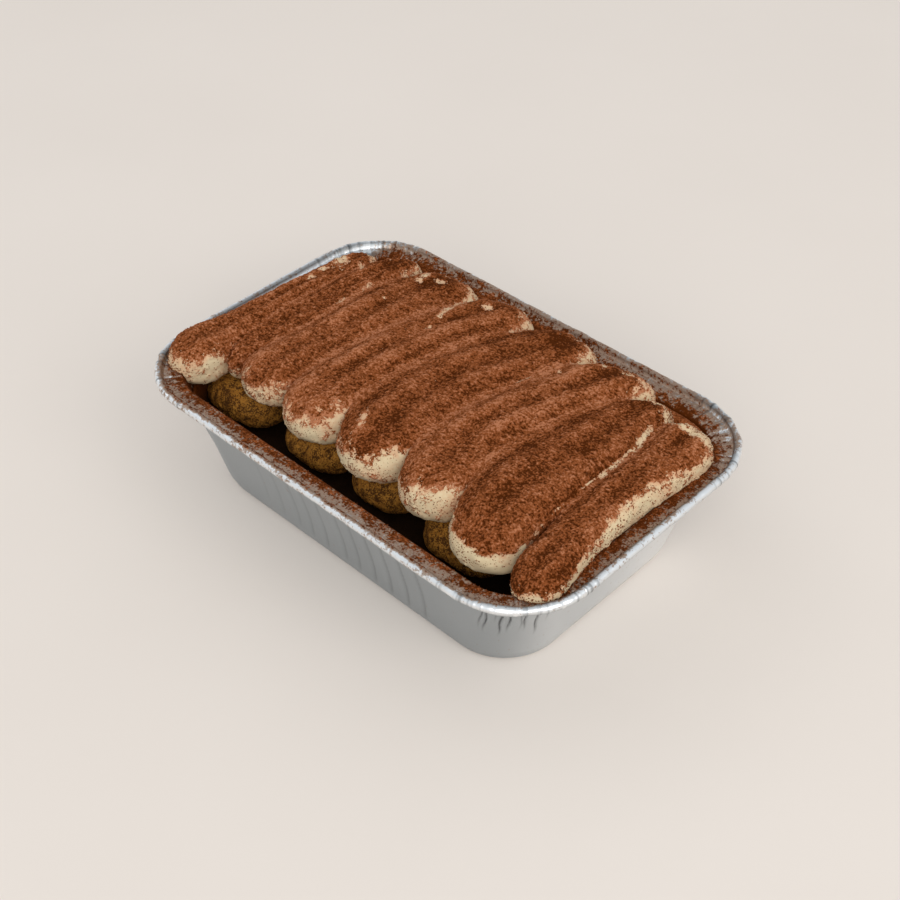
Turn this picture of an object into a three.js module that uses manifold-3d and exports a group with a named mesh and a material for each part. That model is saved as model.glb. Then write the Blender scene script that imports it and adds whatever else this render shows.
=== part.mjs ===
// Tiramisu in a rolled-edge foil tray, in millimetres, +Z up.
// The origin is the middle of the tray's underside. X runs along the tray and Y across it.
// From the floor up: the soft filling, four ladyfingers laid across the tray with their
// rounded ends showing beside an open gap on the -Y side, and eight piped bars of
// mascarpone cream that run from the -Y side to the +Y side on top of them.
import * as THREE from 'three';
import { mergeVertices } from 'three/addons/utils/BufferGeometryUtils.js';
import Module from 'manifold-3d';

const wasm = await Module();
wasm.setup();

// ---------------------------------------------------------------- sizes

// Tray: outer size over the rolled bead, and the wall inside its flat ledge.
const RIM_HALF_LENGTH = 75;
const RIM_HALF_WIDTH = 49.5;
const RIM_CORNER_RADIUS = 23.2;
const BEAD_RADIUS = 1.15;
const BEAD_CENTRE_Z = 36.1;
const LEDGE_OUTER_INSET = 2.4;
const LEDGE_OUTER_Z = 35.6;
const LEDGE_INNER_INSET = 6.6;
const LEDGE_INNER_Z = 35.1;
const WALL_TOP_INSET = 7.5;
const WALL_TOP_Z = 34.2;
const WALL_TAPER_LENGTHWISE = 8.2;
const WALL_TAPER_CROSSWISE = 5.4;
const BASE_CORNER_RADIUS = 16.8;
const FOOT_RADIUS = 2.2;
const FOIL_THICKNESS = 0.55;

// Gap kept between two pieces that touch.
const GAP = 0.3;

// Levels inside the tray.
const FILLING_FLOOR_Z = FOIL_THICKNESS + GAP;
const LADYFINGER_BOTTOM_Z = 17.7;
const LADYFINGER_TOP_Z = 29.3;
const FILLING_TOP_Z = 29.3;
const CREAM_BOTTOM_Z = 29.6;

// The open gap beside the ladyfinger ends.
const TRENCH_FLOOR_Z = LADYFINGER_BOTTOM_Z - GAP;
const TRENCH_BACK_Y = -16;
const TRENCH_MIN_X = -64;
const TRENCH_MAX_X = 57;

// Ladyfingers: sides at x0 and x1, the near end at y0 and how far it turns on the way across.
const LADYFINGERS = [
  { x0: -66.4, x1: -39.8, y0: -32.8, turn: 1.4 },
  { x0: -33.6, x1: -10.2, y0: -31.6, turn: 0.6 },
  { x0: -7.6, x1: 13.6, y0: -30.6, turn: 1.0 },
  { x0: 20.6, x1: 46.0, y0: -32.4, turn: -0.6 },
];
const LADYFINGER_FAR_Y = 34;

// Grooves between neighbouring bars of cream: x at each of these distances across the tray.
const GROOVE_Y = [-36, -26, -18, -6, 6, 18, 28, 38, 44];
const GROOVES = [
  [-71.4, -72.4, -70.8, -69.6, -69.2, -68.6, -68.0, -65.2, -62.6],
  [-56.0, -56.4, -58.0, -59.2, -59.6, -58.8, -57.4, -55.6, -54.6],
  [-50.2, -50.8, -50.0, -48.4, -48.0, -47.6, -46.2, -43.8, -42.0],
  [-31.8, -31.8, -31.6, -31.0, -29.8, -27.4, -24.6, -20.8, -18.6],
  [-9.4, -10.4, -11.8, -12.4, -10.6, -7.0, -2.8, 0.6, 2.4],
  [13.2, 12.8, 11.4, 11.4, 13.4, 16.4, 18.8, 23.6, 26.0],
  [34.0, 33.0, 31.4, 31.2, 32.6, 35.4, 39.0, 44.6, 47.6],
  [57.0, 56.0, 55.2, 54.8, 54.8, 54.0, 52.8, 52.2, 51.6],
  [71.6, 69.8, 68.2, 67.4, 67.2, 68.4, 68.8, 66.8, 64.8],
];

// Bars of cream: tips at near and far, crest height along the bar, two ridge lines' depth
// and place, how long the rounded ends are, and how far the near end hangs down.
const BARS = [
  { near: -39.8, far: 35.6, crest: [41.4, 40.8, 40.0], ridge: 0.7, shift: 0.1, cap: [10, 9], droop: 1.0, nose: 0.42 },
  { near: -28.0, far: 41.4, crest: [39.2, 40.6, 40.4], ridge: 0.3, shift: 0.0, cap: [6, 7], droop: 0.0, nose: 0.40 },
  { near: -31.2, far: 43.2, crest: [40.8, 41.8, 41.6], ridge: 0.8, shift: 0.0, cap: [10, 9], droop: 0.6, nose: 0.42 },
  { near: -33.6, far: 43.6, crest: [41.6, 42.8, 43.0], ridge: 0.9, shift: -0.1, cap: [11, 10], droop: 0.8, nose: 0.42 },
  { near: -34.0, far: 43.8, crest: [42.4, 43.4, 43.4], ridge: 0.9, shift: 0.1, cap: [12, 11], droop: 0.8, nose: 0.42 },
  { near: -33.8, far: 42.6, crest: [42.8, 43.6, 43.4], ridge: 0.8, shift: 0.0, cap: [11, 11], droop: 1.2, nose: 0.42 },
  { near: -37.8, far: 38.4, crest: [43.0, 43.8, 42.2], ridge: 0.8, shift: 0.15, cap: [13, 10], droop: 2.0, nose: 0.42 },
  { near: -38.6, far: 36.4, crest: [40.6, 42.0, 41.4], ridge: 0.5, shift: 0.0, cap: [10, 10], droop: 0.0, nose: 0.46 },
];

// ---------------------------------------------------------------- helpers

function lerp(a, b, t) {
  return a + (b - a) * t;
}

function clamp(value, low, high) {
  return Math.min(high, Math.max(low, value));
}

// Value of a smooth curve through evenly or unevenly spaced knots (cubic Hermite).
function curveAt(xs, ys, x) {
  const last = xs.length - 1;
  const at = clamp(x, xs[0], xs[last]);
  let k = 0;
  while (k < last - 1 && at > xs[k + 1]) {
    k += 1;
  }
  const slope = (i) => {
    const lo = Math.max(0, i - 1);
    const hi = Math.min(last, i + 1);
    return (ys[hi] - ys[lo]) / (xs[hi] - xs[lo]);
  };
  const h = xs[k + 1] - xs[k];
  const t = (at - xs[k]) / h;
  const t2 = t * t;
  const t3 = t2 * t;
  return (2 * t3 - 3 * t2 + 1) * ys[k] + (t3 - 2 * t2 + t) * h * slope(k)
    + (3 * t2 - 2 * t3) * ys[k + 1] + (t3 - t2) * h * slope(k + 1);
}

// Closed surface through a list of rings with equal point counts, closed by a point at each end.
function loft(rings, startPoint, endPoint) {
  const count = rings[0].length;
  const positions = [];
  const faces = [];
  rings.forEach((ring) => ring.forEach((p) => positions.push(p[0], p[1], p[2])));
  const start = rings.length * count;
  const end = start + 1;
  positions.push(...startPoint, ...endPoint);
  for (let j = 0; j + 1 < rings.length; j += 1) {
    for (let i = 0; i < count; i += 1) {
      const next = (i + 1) % count;
      const a = j * count + i;
      const b = j * count + next;
      const c = a + count;
      const d = b + count;
      faces.push(a, b, d, a, d, c);
    }
  }
  const top = (rings.length - 1) * count;
  for (let i = 0; i < count; i += 1) {
    const next = (i + 1) % count;
    faces.push(start, next, i);
    faces.push(end, top + i, top + next);
  }
  const geometry = new THREE.BufferGeometry();
  geometry.setAttribute('position', new THREE.Float32BufferAttribute(positions, 3));
  geometry.setIndex(faces);
  return geometry;
}

function toSolid(geometry) {
  const merged = mergeVertices(geometry, 1e-3);
  return new wasm.Manifold(new wasm.Mesh({
    numProp: 3,
    vertProperties: new Float32Array(merged.attributes.position.array),
    triVerts: new Uint32Array(merged.index.array),
  }));
}

function toGeometry(solid) {
  const mesh = solid.getMesh();
  const geometry = new THREE.BufferGeometry();
  geometry.setAttribute('position', new THREE.Float32BufferAttribute(mesh.vertProperties, 3));
  geometry.setIndex(new THREE.Uint32BufferAttribute(mesh.triVerts, 1));
  return geometry;
}

function boxSolid(min, max) {
  const size = new THREE.Vector3().subVectors(max, min);
  const geometry = new THREE.BoxGeometry(size.x, size.y, size.z);
  geometry.translate((min.x + max.x) / 2, (min.y + max.y) / 2, (min.z + max.z) / 2);
  geometry.deleteAttribute('normal');
  geometry.deleteAttribute('uv');
  return toSolid(geometry);
}

// ---------------------------------------------------------------- tray

const CORNER_STEPS = 9;
const LONG_SIDE_STEPS = 6;
const SHORT_SIDE_STEPS = 4;

// Rounded rectangle seen from above, anticlockwise, with the same point count at every size.
function rectangleRing(halfLength, halfWidth, radius, z) {
  const corners = [
    [halfLength - radius, halfWidth - radius, 0],
    [radius - halfLength, halfWidth - radius, 90],
    [radius - halfLength, radius - halfWidth, 180],
    [halfLength - radius, radius - halfWidth, 270],
  ];
  const ring = [];
  corners.forEach(([cx, cy, startAngle], k) => {
    for (let i = 0; i <= CORNER_STEPS; i += 1) {
      const angle = THREE.MathUtils.degToRad(startAngle + (90 * i) / CORNER_STEPS);
      ring.push([cx + radius * Math.cos(angle), cy + radius * Math.sin(angle), z]);
    }
    const [nx, ny, nextAngle] = corners[(k + 1) % 4];
    const angle = THREE.MathUtils.degToRad(nextAngle);
    const to = [nx + radius * Math.cos(angle), ny + radius * Math.sin(angle)];
    const from = ring[ring.length - 1];
    const steps = k % 2 === 0 ? LONG_SIDE_STEPS : SHORT_SIDE_STEPS;
    for (let i = 1; i < steps; i += 1) {
      ring.push([lerp(from[0], to[0], i / steps), lerp(from[1], to[1], i / steps), z]);
    }
  });
  return ring;
}

// Ring at a distance inside the rim's outer edge.
function rimRing(inset, z) {
  return rectangleRing(RIM_HALF_LENGTH - inset, RIM_HALF_WIDTH - inset, RIM_CORNER_RADIUS - inset, z);
}

// Ring on the slanted wall at height z, moved inwards by a distance.
function wallRing(z, inward) {
  const down = clamp((WALL_TOP_Z - z) / WALL_TOP_Z, 0, 1);
  return rectangleRing(
    RIM_HALF_LENGTH - WALL_TOP_INSET - down * WALL_TAPER_LENGTHWISE - inward,
    RIM_HALF_WIDTH - WALL_TOP_INSET - down * WALL_TAPER_CROSSWISE - inward,
    lerp(RIM_CORNER_RADIUS - WALL_TOP_INSET, BASE_CORNER_RADIUS, down) - inward,
    z,
  );
}

function beadRings() {
  const angles = [205, 250, 295, 340, 25, 70, 115, 155];
  return angles.map((degrees) => {
    const angle = THREE.MathUtils.degToRad(degrees);
    const inset = BEAD_RADIUS - BEAD_RADIUS * Math.cos(angle);
    return rimRing(inset, BEAD_CENTRE_Z + BEAD_RADIUS * Math.sin(angle));
  });
}

function foilTray() {
  const under = FOIL_THICKNESS;
  const rings = [
    wallRing(0, FOOT_RADIUS).map(([x, y]) => [x, y, 0]),
    wallRing(0, FOOT_RADIUS * 0.45).map(([x, y]) => [x, y, FOOT_RADIUS * 0.25]),
    wallRing(FOOT_RADIUS, 0),
    wallRing(16, 0),
    wallRing(WALL_TOP_Z - 0.6, 0),
    rimRing(WALL_TOP_INSET - 0.35, LEDGE_INNER_Z - under - 0.1),
    rimRing(LEDGE_OUTER_INSET + 0.3, LEDGE_OUTER_Z - under),
    ...beadRings(),
    rimRing(LEDGE_OUTER_INSET, LEDGE_OUTER_Z),
    rimRing(LEDGE_INNER_INSET, LEDGE_INNER_Z),
    rimRing(WALL_TOP_INSET + 0.35, WALL_TOP_Z + 0.2),
    wallRing(WALL_TOP_Z - 1, FOIL_THICKNESS),
    wallRing(16, FOIL_THICKNESS),
    wallRing(FOOT_RADIUS, FOIL_THICKNESS),
    wallRing(0, FOOT_RADIUS).map(([x, y]) => [x, y, FOIL_THICKNESS]),
  ];
  return loft(rings, [0, 0, 0], [0, 0, FOIL_THICKNESS]);
}

// Everything above and inside the tray, kept a gap clear of the foil.
function roomForFood() {
  const inward = FOIL_THICKNESS + GAP;
  const rings = [
    wallRing(0, FOOT_RADIUS + inward).map(([x, y]) => [x, y, FILLING_FLOOR_Z]),
    wallRing(FOOT_RADIUS + 0.6, inward + 0.2),
    wallRing(16, inward),
    wallRing(WALL_TOP_Z - 1, inward + 0.1),
    rimRing(WALL_TOP_INSET + 0.75, WALL_TOP_Z + 0.3),
    rimRing(LEDGE_INNER_INSET + 0.1, LEDGE_INNER_Z + GAP + 0.1),
    rimRing(LEDGE_OUTER_INSET + 0.5, LEDGE_OUTER_Z + GAP + 0.1),
    rimRing(LEDGE_OUTER_INSET, BEAD_CENTRE_Z + BEAD_RADIUS + GAP),
    rimRing(-4, BEAD_CENTRE_Z + BEAD_RADIUS + GAP),
    rimRing(-4, 60),
  ];
  return toSolid(loft(rings, [0, 0, FILLING_FLOOR_Z], [0, 0, 60]));
}

// ---------------------------------------------------------------- ladyfingers and filling

const LADYFINGER_AROUND = 16;
const LADYFINGER_ALONG = [0.02, 0.07, 0.16, 0.3, 0.5, 0.75, 1];
const LADYFINGER_CAP = 9;

// Rounded biscuit with a domed top; `grow` makes the pocket that it lies in.
function ladyfinger({ x0, x1, y0, turn }, grow) {
  const half = (x1 - x0) / 2 + grow;
  const low = LADYFINGER_BOTTOM_Z - grow;
  const high = LADYFINGER_TOP_Z + grow;
  const near = y0 - grow;
  const far = LADYFINGER_FAR_Y + grow;
  const middleZ = (low + high) / 2 - 0.6;
  const section = (y, cap) => {
    const across = (y - near) / (far - near);
    const centre = (x0 + x1) / 2 + turn * across;
    const ring = [];
    for (let i = 0; i < LADYFINGER_AROUND; i += 1) {
      const angle = Math.PI / 2 - (2 * Math.PI * i) / LADYFINGER_AROUND;
      const power = Math.sin(angle) > 0 ? 0.78 : 0.6;
      const side = Math.sign(Math.cos(angle)) * Math.abs(Math.cos(angle)) ** power;
      const up = Math.sign(Math.sin(angle)) * Math.abs(Math.sin(angle)) ** power;
      const reach = up > 0 ? high - middleZ : middleZ - low;
      ring.push([centre + side * half * cap ** 0.8, y, middleZ + up * reach * cap]);
    }
    return ring;
  };
  const rings = [];
  LADYFINGER_ALONG.forEach((t) => {
    rings.push(section(near + LADYFINGER_CAP * t, Math.sqrt(1 - (1 - t) ** 2)));
  });
  rings.push(section((near + far) / 2, 1));
  [...LADYFINGER_ALONG].reverse().forEach((t) => {
    rings.push(section(far - LADYFINGER_CAP * t, Math.sqrt(1 - (1 - t) ** 2)));
  });
  const centre = (x0 + x1) / 2;
  return loft(rings, [centre, near, middleZ], [centre + turn, far, middleZ]);
}

function filling() {
  const inward = FOIL_THICKNESS + GAP;
  const rings = [
    wallRing(0, FOOT_RADIUS + inward).map(([x, y]) => [x, y, FILLING_FLOOR_Z]),
    wallRing(FOOT_RADIUS + 0.6, inward + 0.2),
    wallRing(16, inward),
    wallRing(FILLING_TOP_Z, inward),
  ];
  let solid = toSolid(loft(rings, [0, 0, FILLING_FLOOR_Z], [0, 0, FILLING_TOP_Z]));
  const trench = boxSolid(
    new THREE.Vector3(TRENCH_MIN_X, -60, TRENCH_FLOOR_Z),
    new THREE.Vector3(TRENCH_MAX_X, TRENCH_BACK_Y, 40),
  );
  solid = solid.subtract(trench);
  LADYFINGERS.forEach((finger) => {
    solid = solid.subtract(toSolid(ladyfinger(finger, GAP)));
  });
  return toGeometry(solid);
}

// ---------------------------------------------------------------- cream bars

const BAR_AROUND = 20;
const CAP_STEPS = [0.015, 0.07, 0.18, 0.34, 0.55, 0.78, 1];
const MIDDLE_STEPS = 9;

// Height of the bar's crest above the tray's underside, a fraction `t` of the way across.
function crestAt(bar, index, t) {
  const waves = 0.35 * Math.sin(7.3 * t + index * 1.9) + 0.25 * Math.sin(15.1 * t + index * 2.7);
  return curveAt([0, 0.5, 1], bar.crest, t) + waves;
}

// One ring of a bar at y, between its two grooves, shrunk by `cap` towards a rounded tip.
function barSection(bar, index, y, cap) {
  const left = curveAt(GROOVE_Y, GROOVES[index], y) + GAP / 2;
  const right = curveAt(GROOVE_Y, GROOVES[index + 1], y) - GAP / 2;
  const t = (y - bar.near) / (bar.far - bar.near);
  const centre = (left + right) / 2;
  const half = ((right - left) / 2) * cap ** 0.92;
  const crest = crestAt(bar, index, t);
  const hang = bar.droop * clamp(1 - (y - bar.near) / 9, 0, 1);
  const low = CREAM_BOTTOM_Z - hang;
  const noseZ = lerp(CREAM_BOTTOM_Z, crest, bar.nose);
  const flatness = clamp((cap - 0.6) / 0.4, 0, 1);
  const ring = [];
  for (let i = 0; i < BAR_AROUND; i += 1) {
    const angle = Math.PI / 2 - (2 * Math.PI * (i + 0.5)) / BAR_AROUND;
    const upper = Math.sin(angle) > 0;
    const power = upper ? lerp(0.95, 0.72, flatness) : lerp(0.9, 0.5, flatness);
    const side = Math.sign(Math.cos(angle)) * Math.abs(Math.cos(angle)) ** power;
    const up = Math.sign(Math.sin(angle)) * Math.abs(Math.sin(angle)) ** power;
    const reach = upper ? crest - noseZ : noseZ - low;
    const ridge = upper ? bar.ridge * cap * up ** 3 * -Math.cos(6.6 * (side - bar.shift)) : 0;
    ring.push([centre + side * half, y, noseZ + up * reach * cap ** 0.9 + ridge]);
  }
  return ring;
}

function creamBar(index, room) {
  const bar = BARS[index];
  const rings = [];
  CAP_STEPS.forEach((t) => {
    const cap = Math.sqrt(1 - (1 - t) ** 2);
    rings.push(barSection(bar, index, bar.near + bar.cap[0] * t, cap));
  });
  for (let i = 1; i < MIDDLE_STEPS; i += 1) {
    const y = lerp(bar.near + bar.cap[0], bar.far - bar.cap[1], i / MIDDLE_STEPS);
    rings.push(barSection(bar, index, y, 1));
  }
  [...CAP_STEPS].reverse().forEach((t) => {
    const cap = Math.sqrt(1 - (1 - t) ** 2);
    rings.push(barSection(bar, index, bar.far - bar.cap[1] * t, cap));
  });
  const tip = (y, t) => {
    const x = (curveAt(GROOVE_Y, GROOVES[index], y) + curveAt(GROOVE_Y, GROOVES[index + 1], y)) / 2;
    return [x, y, lerp(CREAM_BOTTOM_Z, crestAt(bar, index, t), bar.nose)];
  };
  const solid = toSolid(loft(rings, tip(bar.near, 0), tip(bar.far, 1)));
  return toGeometry(solid.intersect(room));
}

// ---------------------------------------------------------------- assembly

const foil = new THREE.MeshStandardMaterial({ color: 0xc4c7c8, roughness: 0.35, metalness: 1 });
const soaked = new THREE.MeshStandardMaterial({ color: 0xd9c59a, roughness: 0.7, metalness: 0 });
const biscuit = new THREE.MeshStandardMaterial({ color: 0x9a6a2c, roughness: 0.85, metalness: 0 });
const cream = new THREE.MeshStandardMaterial({ color: 0x7d4a2e, roughness: 0.9, metalness: 0 });

function addMesh(group, name, geometry, material) {
  const mesh = new THREE.Mesh(geometry, material);
  mesh.name = name;
  group.add(mesh);
}

const tiramisu = new THREE.Group();
const room = roomForFood();
addMesh(tiramisu, 'foil_tray', foilTray(), foil);
addMesh(tiramisu, 'filling', filling(), soaked);
LADYFINGERS.forEach((finger, index) => {
  const solid = toSolid(ladyfinger(finger, 0)).intersect(room);
  addMesh(tiramisu, `ladyfinger_${index + 1}`, toGeometry(solid), biscuit);
});
BARS.forEach((bar, index) => {
  addMesh(tiramisu, `cream_bar_${index + 1}`, creamBar(index, room), cream);
});

export default tiramisu;
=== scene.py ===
"""Tiramisu in a rolled-edge foil tray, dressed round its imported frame.

The tables and shape functions below are in millimetres; meshes are made in metres. X runs along
the tray, Y across it and Z up, with the origin in the middle of the tray's underside.
"""

import math

import bpy
import numpy as np
from mathutils import Matrix, Vector


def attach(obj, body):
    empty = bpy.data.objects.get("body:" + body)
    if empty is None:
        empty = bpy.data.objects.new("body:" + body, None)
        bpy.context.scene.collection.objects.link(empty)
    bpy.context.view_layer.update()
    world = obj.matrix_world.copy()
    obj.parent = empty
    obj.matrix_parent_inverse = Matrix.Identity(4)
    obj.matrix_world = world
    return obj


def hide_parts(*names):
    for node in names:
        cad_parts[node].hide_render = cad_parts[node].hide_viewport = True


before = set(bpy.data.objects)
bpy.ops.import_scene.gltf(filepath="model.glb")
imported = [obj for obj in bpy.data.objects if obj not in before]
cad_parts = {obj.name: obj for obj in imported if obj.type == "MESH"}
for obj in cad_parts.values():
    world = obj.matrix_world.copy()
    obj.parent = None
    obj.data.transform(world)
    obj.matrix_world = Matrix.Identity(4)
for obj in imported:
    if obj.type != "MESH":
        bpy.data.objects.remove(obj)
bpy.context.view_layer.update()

MM = 0.001
rng = np.random.default_rng(20)

# ---- sizes shared with the solids

RIM_HALF_LENGTH = 75.0
RIM_HALF_WIDTH = 49.5
RIM_CORNER_RADIUS = 23.2
BEAD_RADIUS = 1.15
BEAD_CENTRE_Z = 36.1
LEDGE_OUTER_INSET, LEDGE_OUTER_Z = 2.4, 35.6
LEDGE_INNER_INSET, LEDGE_INNER_Z = 6.6, 35.1
WALL_TOP_INSET, WALL_TOP_Z = 7.5, 34.2
WALL_TAPER_LENGTHWISE, WALL_TAPER_CROSSWISE = 8.2, 5.4
BASE_CORNER_RADIUS = 16.8
FOOT_RADIUS = 2.2
FOIL_THICKNESS = 0.55
CREAM_BOTTOM_Z = 29.6
FILLING_TOP_Z = 29.3
LADYFINGER_BOTTOM_Z, LADYFINGER_TOP_Z = 17.7, 29.3
TRENCH_FLOOR_Z = 17.4

# Ladyfingers: left side, right side, near end, and the middle's drift to the right at the far end.
LADYFINGERS = [
    (-66.4, -39.8, -32.8, 1.4),
    (-33.6, -10.2, -31.6, 0.6),
    (-7.6, 13.6, -30.6, 1.0),
    (20.6, 46.0, -32.4, -0.6),
]
LADYFINGER_FAR_Y = 34.0
LADYFINGER_CAP_LENGTH = 9.0

# Against the wall, the ladyfingers' undersides are lifted no higher than this.
LADYFINGER_LIFT_Z = 28.0

# The filling's lowest height, and where its rounded foot ends.
FILLING_BOTTOM_Z, FILLING_FOOT_Z = 0.85, 4.0

# The bars' outer edges and the grooves between, left to right: x at each of GROOVE_Y.
GROOVE_Y = [-36, -26, -18, -6, 6, 18, 28, 38, 44]
GROOVES = [
    [-71.4, -72.4, -70.8, -69.6, -69.2, -68.6, -68.0, -65.2, -62.6],
    [-56.0, -56.4, -58.0, -59.2, -59.6, -58.8, -57.4, -55.6, -54.6],
    [-50.2, -50.8, -50.0, -48.4, -48.0, -47.6, -46.2, -43.8, -42.0],
    [-31.8, -31.8, -31.6, -31.0, -29.8, -27.4, -24.6, -20.8, -18.6],
    [-9.4, -10.4, -11.8, -12.4, -10.6, -7.0, -2.8, 0.6, 2.4],
    [13.2, 12.8, 11.4, 11.4, 13.4, 16.4, 18.8, 23.6, 26.0],
    [34.0, 33.0, 31.4, 31.2, 32.6, 35.4, 39.0, 44.6, 47.6],
    [57.0, 56.0, 55.2, 54.8, 54.8, 54.0, 52.8, 52.2, 51.6],
    [71.6, 69.8, 68.2, 67.4, 67.2, 68.4, 68.8, 66.8, 64.8],
]

# Bars: near tip, far tip, crest heights, ridge depth and shift, cap lengths, droop, nose.
BARS = [
    (-39.8, 35.6, (41.4, 40.8, 40.0), 0.7, 0.10, (10, 9), 1.0, 0.42),
    (-28.0, 41.4, (39.2, 40.6, 40.4), 0.3, 0.00, (6, 7), 0.0, 0.40),
    (-31.2, 43.2, (40.8, 41.8, 41.6), 0.8, 0.00, (10, 9), 0.6, 0.42),
    (-33.6, 43.6, (41.6, 42.8, 43.0), 0.9, -0.10, (11, 10), 0.8, 0.42),
    (-34.0, 43.8, (42.4, 43.4, 43.4), 0.9, 0.10, (12, 11), 0.8, 0.42),
    (-33.8, 42.6, (42.8, 43.6, 43.4), 0.8, 0.00, (11, 11), 1.2, 0.42),
    (-37.8, 38.4, (43.0, 43.8, 42.2), 0.8, 0.15, (13, 10), 2.0, 0.42),
    (-38.6, 36.4, (40.6, 42.0, 41.4), 0.5, 0.00, (10, 10), 0.0, 0.46),
]

# ---- numbers and noise


def lerp(a, b, t):
    return a + (b - a) * t


def smooth(low, high, x):
    t = np.clip((x - low) / (high - low), 0.0, 1.0)
    return t * t * (3.0 - 2.0 * t)


def curve_at(xs, ys, x):
    """Smooth curve through the knots (xs, ys), as the solids' source has it."""
    xs, ys = np.asarray(xs, float), np.asarray(ys, float)
    at = np.clip(x, xs[0], xs[-1])
    k = np.clip(np.searchsorted(xs, at, side="left") - 1, 0, len(xs) - 2)
    low, high = np.maximum(np.arange(len(xs)) - 1, 0), np.minimum(np.arange(len(xs)) + 1, len(xs) - 1)
    slope = (ys[high] - ys[low]) / (xs[high] - xs[low])
    h = xs[k + 1] - xs[k]
    t = (at - xs[k]) / h
    t2, t3 = t * t, t * t * t
    return (
        (2 * t3 - 3 * t2 + 1) * ys[k]
        + (t3 - 2 * t2 + t) * h * slope[k]
        + (3 * t2 - 2 * t3) * ys[k + 1]
        + (t3 - t2) * h * slope[k + 1]
    )


def lattice(ix, iy, iz, seed):
    """Repeatable random number from -1 to 1 for each whole-numbered corner."""
    n = (ix * 374761393 + iy * 668265263 + iz * 1103515245 + seed * 69069) & 0xFFFFFFFF
    n = ((n ^ (n >> 13)) * 1274126177) & 0xFFFFFFFF
    n = ((n ^ (n >> 15)) * 2246822519) & 0xFFFFFFFF
    return ((n ^ (n >> 16)) & 0xFFFFFF) / 8388607.5 - 1.0


# Turned axes, so that the noise's lattice never lines up with the tray.
TURNED = np.array([[0.80, 0.36, -0.48], [-0.60, 0.48, -0.64], [0.0, 0.80, 0.60]])


def value_noise(points, size, seed):
    """Smooth noise from about -1 to 1, its features about `size` millimetres across."""
    q = (points @ TURNED) / size + seed * 7.31
    cell = np.floor(q).astype(np.int64)
    f = q - cell
    f = f * f * (3.0 - 2.0 * f)
    total = 0.0
    for dx in (0, 1):
        wx = f[..., 0] if dx else 1.0 - f[..., 0]
        for dy in (0, 1):
            wy = f[..., 1] if dy else 1.0 - f[..., 1]
            for dz in (0, 1):
                wz = f[..., 2] if dz else 1.0 - f[..., 2]
                corner = lattice(cell[..., 0] + dx, cell[..., 1] + dy, cell[..., 2] + dz, seed)
                total = total + wx * wy * wz * corner
    return total


def layered(points, size, seed, layers=3, gain=0.5):
    """Several sizes of noise on top of each other."""
    total, strength, most = 0.0, 1.0, 0.0
    for k in range(layers):
        total = total + strength * value_noise(points, size / 2**k, seed + 13 * k)
        most += strength
        strength *= gain
    return total / most


def evened(noise):
    """The noise spread evenly over 0 to 1, so that a threshold is a share of the area."""
    return 1.0 / (1.0 + np.exp(-1.702 * (noise - noise.mean()) / (noise.std() + 1e-9)))


def streaks(points, seed):
    """Felted powder: grains a little longer than wide, heaped at random, from about -1 to 1."""
    stretched = points / np.array([0.74, 0.50, 0.56])
    return 0.62 * value_noise(stretched, 1.0, seed + 7) + 0.75 * value_noise(points, 0.42, seed + 9)


# ---- meshes


def normals_of(grid):
    """Outward unit normals of rings of points (rings, around, 3)."""
    around = np.roll(grid, -1, axis=1) - np.roll(grid, 1, axis=1)
    along = np.gradient(grid, axis=0)
    n = np.cross(around, along)
    return n / (np.linalg.norm(n, axis=-1, keepdims=True) + 1e-12)


def make_mesh(name, points, faces, values=None):
    """Smooth-shaded mesh object from points in millimetres; `values` are numbers kept at its points."""
    mesh = bpy.data.meshes.new(name)
    faces = np.asarray(faces, np.int32)
    sides = faces.shape[1]
    mesh.vertices.add(len(points))
    mesh.vertices.foreach_set("co", (np.asarray(points, float) * MM).ravel())
    mesh.loops.add(faces.size)
    mesh.loops.foreach_set("vertex_index", faces.ravel())
    mesh.polygons.add(len(faces))
    mesh.polygons.foreach_set("loop_start", np.arange(len(faces), dtype=np.int32) * sides)
    mesh.update(calc_edges=True)
    mesh.validate()
    mesh.shade_smooth()
    for key, numbers in (values or {}).items():
        layer = mesh.attributes.new(key, "FLOAT", "POINT")
        layer.data.foreach_set("value", np.asarray(numbers, np.float32).ravel())
    made = bpy.data.objects.new(name, mesh)
    bpy.context.scene.collection.objects.link(made)
    return made


def closed_rings(name, grid, start, end, values=None):
    """Mesh of rings of points, closed by a point at each end."""
    rings, around = grid.shape[:2]
    j, i = np.meshgrid(np.arange(rings - 1), np.arange(around), indexing="ij")
    a = (j * around + i).ravel()
    b = (j * around + (i + 1) % around).ravel()
    side = np.stack([a, b, b + around, a + around], -1)
    first, last = rings * around, rings * around + 1
    # Each end is closed with quads that take two steps round the ring, which has an even count.
    at = np.arange(0, around, 2)
    after, next_at = at + 1, (at + 2) % around
    near = np.stack([np.full(len(at), first), next_at, after, at], -1)
    top = (rings - 1) * around
    far = np.stack([np.full(len(at), last), top + at, top + after, top + next_at], -1)
    points = np.concatenate([grid.reshape(-1, 3), [start], [end]])
    padded = {}
    for key, numbers in (values or {}).items():
        ends = [numbers[0].mean(), numbers[-1].mean()]
        padded[key] = np.concatenate([numbers.ravel(), ends])
    return make_mesh(name, points, np.concatenate([side, near, far]), padded)


def resample(fine, weight, count):
    """Rings resampled to `count` points each, closer together where the weight is larger."""
    closed = np.concatenate([fine, fine[:, :1]], axis=1)
    step = np.linalg.norm(np.diff(closed, axis=1), axis=-1) * weight
    run = np.concatenate([np.zeros((len(fine), 1)), np.cumsum(step, axis=1)], axis=1)
    out = np.empty((len(fine), count, 3))
    for r in range(len(fine)):
        at = np.linspace(0.0, run[r, -1], count, endpoint=False)
        for axis in range(3):
            out[r, :, axis] = np.interp(at, run[r], closed[r, :, axis])
    return out


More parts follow.
